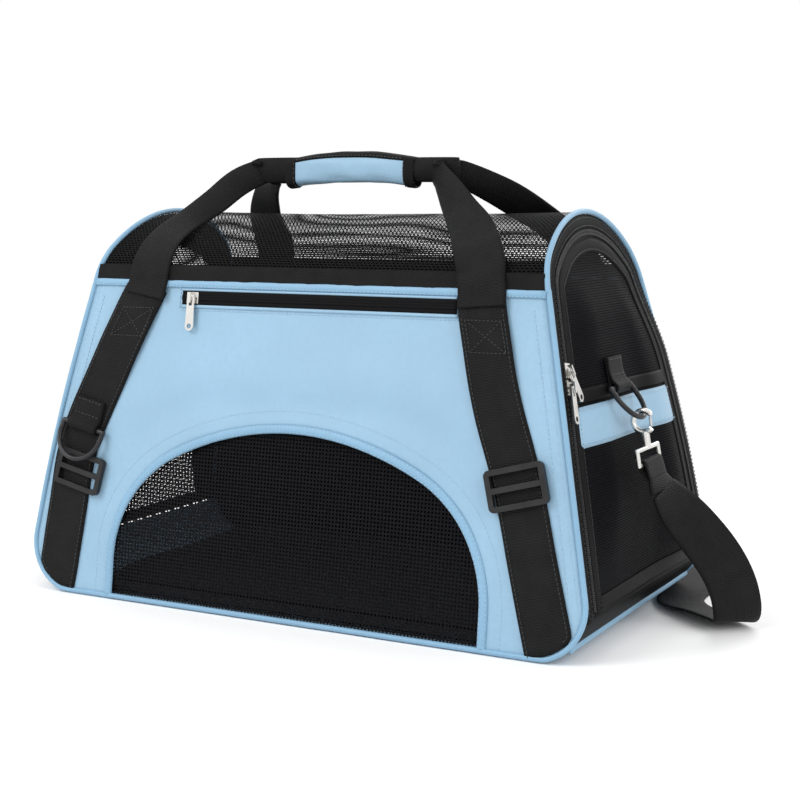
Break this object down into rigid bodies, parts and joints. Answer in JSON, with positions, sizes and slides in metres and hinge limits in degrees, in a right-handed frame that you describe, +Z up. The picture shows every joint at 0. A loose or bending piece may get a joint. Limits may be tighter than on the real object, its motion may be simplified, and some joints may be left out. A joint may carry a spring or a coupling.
{
  "type": "pet transport carrier",
  "caption": "Soft-sided pet carrier with an arched mesh roof, zipped end doors, a mesh window, a zipped pocket, wrapped handles and a clipped shoulder strap.",
  "frame": {"origin": "middle of the base's underside, where the carrier stands", "axes": "+X along the carrier towards its right end door, -Y towards the side with the pocket and the window, +Z up"},
  "size_m": [0.6555, 0.361, 0.3635],
  "materials": {
    "shell_fabric": "woven polyester with a satin coating, light blue",
    "trim_fabric": "folded woven binding tape, light blue",
    "base_fabric": "coated woven polyester, greyish blue",
    "black_fabric": "coated woven polyester, black",
    "black_webbing": "ribbed woven webbing, black",
    "black_mesh": "knitted open mesh, black",
    "zip_tape": "woven zip tape, black",
    "zip_coil": "moulded coil teeth, black",
    "mat_fleece": "brushed fleece, charcoal",
    "board_plastic": "extruded sheet, black",
    "black_plastic": "moulded plastic, black",
    "nickel": "plated zinc, satin nickel",
    "spring_steel": "drawn wire, plain"
  },
  "bodies": {
    "bag": {"base_panel": "base_fabric", "bottom_board": "board_plastic", "floor_mat": "mat_fleece", "front_panel": "shell_fabric", "back_panel": "shell_fabric", "front_window_mesh": "black_mesh", "front_window_binding": "trim_fabric", "pocket_zip_tape": "zip_tape", "pocket_zip_coil": "zip_coil", "pocket_liner": "shell_fabric", "front_piping": "trim_fabric", "back_piping": "trim_fabric", "arch_piping": "trim_fabric", "seam_strips": "trim_fabric", "roof_mesh": "black_mesh", "roof_hems": "black_webbing", "right_end_frame": "black_fabric", "left_end_frame": "black_fabric", "right_frame_zip": "zip_tape", "left_frame_zip": "zip_tape", "front_left_strap": "black_webbing", "front_right_strap": "black_webbing", "back_left_strap": "black_webbing", "back_right_strap": "black_webbing", "front_left_glide": "black_plastic", "front_right_glide": "black_plastic", "back_glides": "black_plastic", "front_ring_tab": "black_webbing", "front_handle_webbing": "black_webbing", "back_handle_webbing": "black_webbing", "handle_wrap": "shell_fabric", "shoulder_strap": "black_webbing", "strap_adjuster": "black_plastic"},
    "right_door": {"right_door_zip": "zip_coil", "right_door_panel": "black_fabric", "right_door_mesh": "black_mesh", "right_door_patch": "shell_fabric", "right_ring_tab": "black_webbing"},
    "right_ring": {"right_d_ring": "black_plastic"},
    "right_hook": {"right_snap_hook": "nickel"},
    "right_gate": {"right_hook_gate": "spring_steel"},
    "right_upper_slider": {"right_upper_slider": "nickel"},
    "right_upper_pull": {"right_upper_pull": "nickel"},
    "right_lower_slider": {"right_lower_slider": "nickel"},
    "right_lower_pull": {"right_lower_pull": "nickel"},
    "left_door": {"left_door_zip": "zip_coil", "left_door_panel": "black_fabric", "left_door_mesh": "black_mesh", "left_door_patch": "shell_fabric", "left_ring_tab": "black_webbing"},
    "left_ring": {"left_d_ring": "black_plastic"},
    "left_hook": {"left_snap_hook": "nickel"},
    "left_gate": {"left_hook_gate": "spring_steel"},
    "left_upper_slider": {"left_upper_slider": "nickel"},
    "left_upper_pull": {"left_upper_pull": "nickel"},
    "left_lower_slider": {"left_lower_slider": "nickel"},
    "left_lower_pull": {"left_lower_pull": "nickel"},
    "pocket_slider": {"pocket_slider": "nickel"},
    "pocket_pull": {"pocket_pull": "nickel"},
    "front_ring": {"front_d_ring": "black_plastic"}
  },
  "joints": [
    {"name": "right_door_fold", "type": "hinge", "parent": "bag", "child": "right_door", "pos_m": [0.24849, 0, 0.032], "axis": [0, 1, 0], "range_deg": [0, 100], "deforming": ["shoulder_strap"]},
    {"name": "right_ring_swing", "type": "hinge", "parent": "right_door", "child": "right_ring", "pos_m": [0.2303, -0.02, 0.18555], "axis": [0, -1, 0], "range_deg": [-9, 120]},
    {"name": "right_hook_swing", "type": "hinge", "parent": "right_ring", "child": "right_hook", "pos_m": [0.24811, -0.02, 0.16395], "axis": [0, -1, 0], "range_deg": [0, 60]},
    {"name": "right_gate_open", "type": "hinge", "parent": "right_hook", "child": "right_gate", "pos_m": [0.25504, -0.02, 0.15548], "axis": [0, -1, 0], "range_deg": [0, 16], "stiffness_Nm_per_rad": 0.02},
    {"name": "right_upper_zip_run", "type": "slide", "parent": "right_door", "child": "right_upper_slider", "axis": [-0.1974, 0.1426, 0.9699], "range_m": [0, 0.045]},
    {"name": "right_upper_pull_flip", "type": "hinge", "parent": "right_upper_slider", "child": "right_upper_pull", "pos_m": [0.21722, -0.08899, 0.20372], "axis": [0.0899, -0.8926, -0.4419], "range_deg": [0, 170]},
    {"name": "right_lower_zip_run", "type": "slide", "parent": "right_door", "child": "right_lower_slider", "axis": [-0.1974, 0.1426, 0.9699], "range_m": [-0.11, 0]},
    {"name": "right_lower_pull_flip", "type": "hinge", "parent": "right_lower_slider", "child": "right_lower_pull", "pos_m": [0.21966, -0.09076, 0.19172], "axis": [-0.0284, -0.9898, 0.1397], "range_deg": [0, 90]},
    {"name": "left_door_fold", "type": "hinge", "parent": "bag", "child": "left_door", "pos_m": [-0.24849, 0, 0.032], "axis": [0, -1, 0], "range_deg": [0, 100], "deforming": ["shoulder_strap"]},
    {"name": "left_ring_swing", "type": "hinge", "parent": "left_door", "child": "left_ring", "pos_m": [-0.2303, 0.02, 0.18555], "axis": [0, 1, 0], "range_deg": [-9, 120]},
    {"name": "left_hook_swing", "type": "hinge", "parent": "left_ring", "child": "left_hook", "pos_m": [-0.24811, 0.02, 0.16395], "axis": [0, 1, 0], "range_deg": [0, 60]},
    {"name": "left_gate_open", "type": "hinge", "parent": "left_hook", "child": "left_gate", "pos_m": [-0.25504, 0.02, 0.15548], "axis": [0, 1, 0], "range_deg": [0, 16], "stiffness_Nm_per_rad": 0.02},
    {"name": "left_upper_zip_run", "type": "slide", "parent": "left_door", "child": "left_upper_slider", "axis": [0.1974, -0.1426, 0.9699], "range_m": [0, 0.045]},
    {"name": "left_upper_pull_flip", "type": "hinge", "parent": "left_upper_slider", "child": "left_upper_pull", "pos_m": [-0.21722, 0.08899, 0.20372], "axis": [-0.0899, 0.8926, -0.4419], "range_deg": [0, 170]},
    {"name": "left_lower_zip_run", "type": "slide", "parent": "left_door", "child": "left_lower_slider", "axis": [0.1974, -0.1426, 0.9699], "range_m": [-0.11, 0]},
    {"name": "left_lower_pull_flip", "type": "hinge", "parent": "left_lower_slider", "child": "left_lower_pull", "pos_m": [-0.21966, 0.09076, 0.19172], "axis": [0.0284, 0.9898, 0.1397], "range_deg": [0, 90]},
    {"name": "pocket_zip_run", "type": "slide", "parent": "bag", "child": "pocket_slider", "axis": [1, 0, 0], "range_m": [0, 0.224]},
    {"name": "pocket_pull_flip", "type": "hinge", "parent": "pocket_slider", "child": "pocket_pull", "pos_m": [-0.104, -0.10225, 0.24752], "axis": [-1, 0, 0], "range_deg": [0, 90]},
    {"name": "front_ring_swing", "type": "hinge", "parent": "bag", "child": "front_ring", "pos_m": [-0.203, -0.11976, 0.13874], "axis": [-0.9781, 0.0302, 0.2057], "range_deg": [0, 150]}
  ]
}
